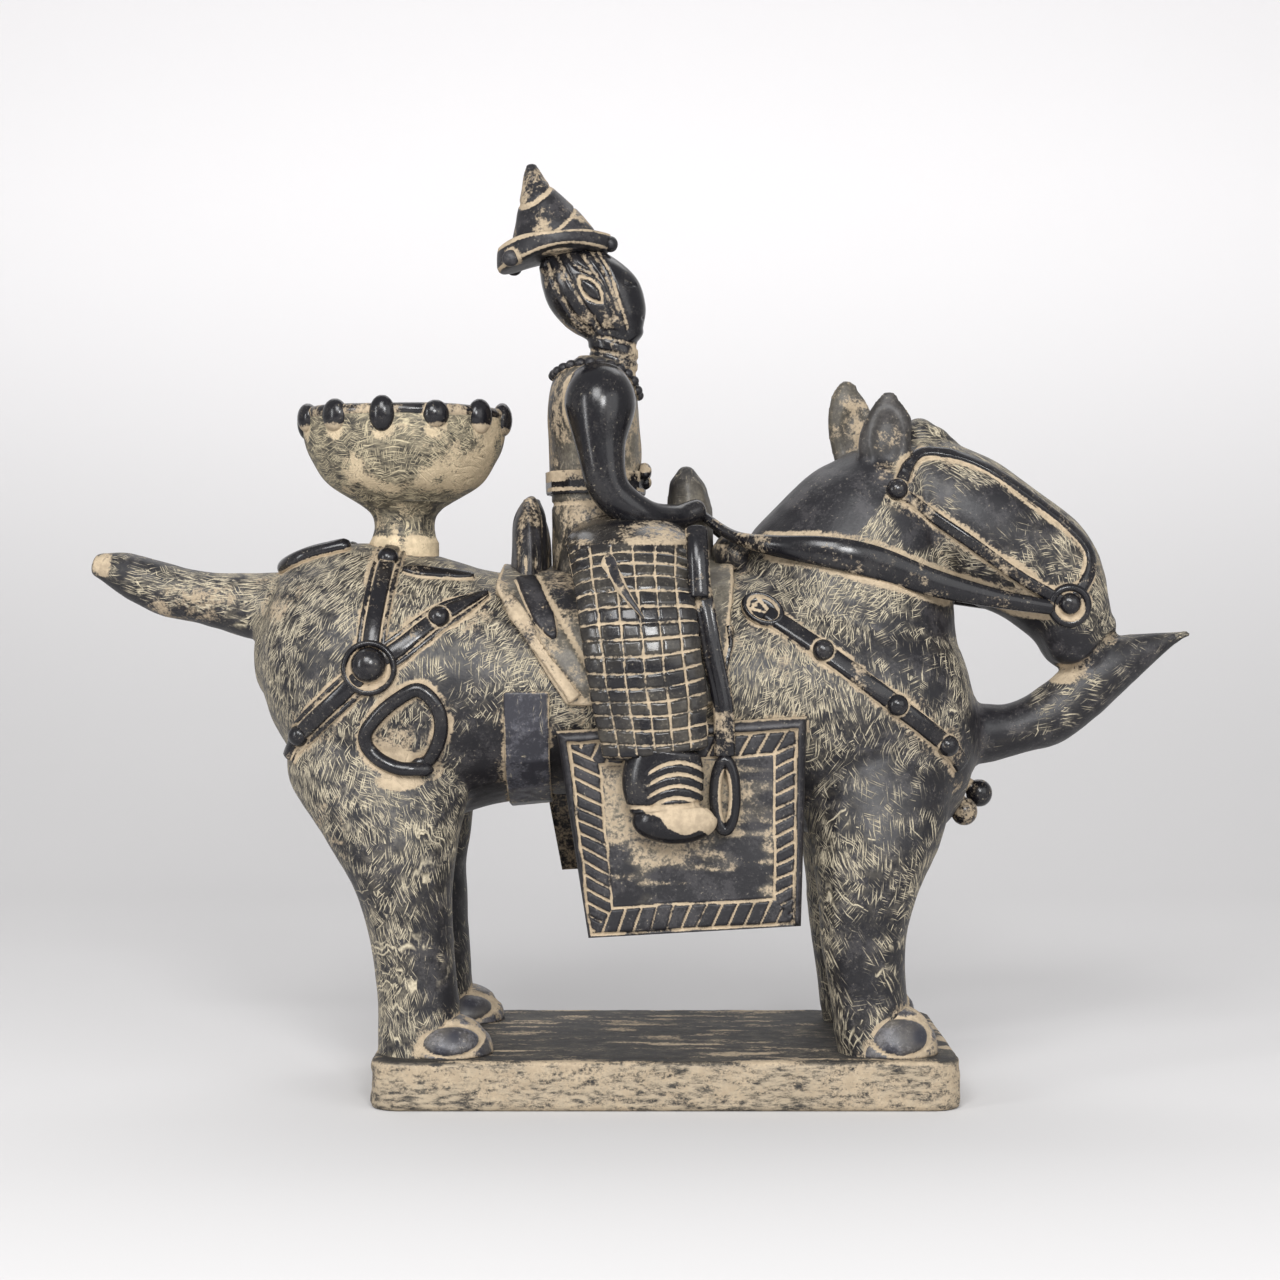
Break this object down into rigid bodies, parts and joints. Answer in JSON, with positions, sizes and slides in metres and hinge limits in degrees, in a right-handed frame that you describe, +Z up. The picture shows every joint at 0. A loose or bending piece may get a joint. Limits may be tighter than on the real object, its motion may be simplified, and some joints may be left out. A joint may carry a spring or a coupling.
{
  "type": "clay horse and rider figure",
  "caption": "Hand-built dark clay horse with a seated rider, saddle cloths, strap harness with studs, a raised tail, a chest horn and a small open bowl on the rump, on a flat slab.",
  "frame": {"origin": "middle of the base slab's flat underside", "axes": "+X from the tail to the horse's head, +Y to the horse's left, +Z up"},
  "size_m": [0.3303, 0.1116, 0.2751],
  "materials": {
    "clay": "rough",
    "burnished_clay": "satin",
    "sandy_clay": "rough",
    "bowl_clay": "rough"
  },
  "bodies": {
    "root": {"base_slab": "sandy_clay", "trunk": "clay", "neck": "clay", "head": "clay", "tail": "clay", "chest_horn": "clay", "forelock": "clay", "ear_right": "clay", "hind_leg_right": "clay", "fore_leg_right": "clay", "saddle_cloth_right": "clay", "trouser_right": "clay", "hind_hoof_right": "burnished_clay", "fore_hoof_right": "burnished_clay", "rosette_right": "burnished_clay", "hip_strap_right": "burnished_clay", "side_strap_right": "burnished_clay", "breech_strap_right": "burnished_clay", "hip_ring_right": "burnished_clay", "breast_strap_right": "burnished_clay", "bell_right": "burnished_clay", "bit_ring_right": "burnished_clay", "bridle_strap_right": "burnished_clay", "rein_right": "burnished_clay", "stirrup_right": "burnished_clay", "stirrup_strap_right": "burnished_clay", "rider_arm_right": "burnished_clay", "boot_right": "burnished_clay", "ear_left": "clay", "hind_leg_left": "clay", "fore_leg_left": "clay", "saddle_cloth_left": "clay", "trouser_left": "clay", "hind_hoof_left": "burnished_clay", "fore_hoof_left": "burnished_clay", "rosette_left": "burnished_clay", "hip_strap_left": "burnished_clay", "side_strap_left": "burnished_clay", "breech_strap_left": "burnished_clay", "hip_ring_left": "burnished_clay", "breast_strap_left": "burnished_clay", "bell_left": "burnished_clay", "bit_ring_left": "burnished_clay", "bridle_strap_left": "burnished_clay", "rein_left": "burnished_clay", "stirrup_left": "burnished_clay", "stirrup_strap_left": "burnished_clay", "rider_arm_left": "burnished_clay", "boot_left": "burnished_clay", "saddle_pad": "clay", "cantle": "clay", "rider_torso": "clay", "rider_head": "clay", "hat": "clay", "crupper_loop": "burnished_clay", "girth": "burnished_clay", "rider_belt": "burnished_clay", "bowl_rim": "burnished_clay", "bowl_stem": "bowl_clay", "bowl": "bowl_clay"}
  },
  "joints": []
}
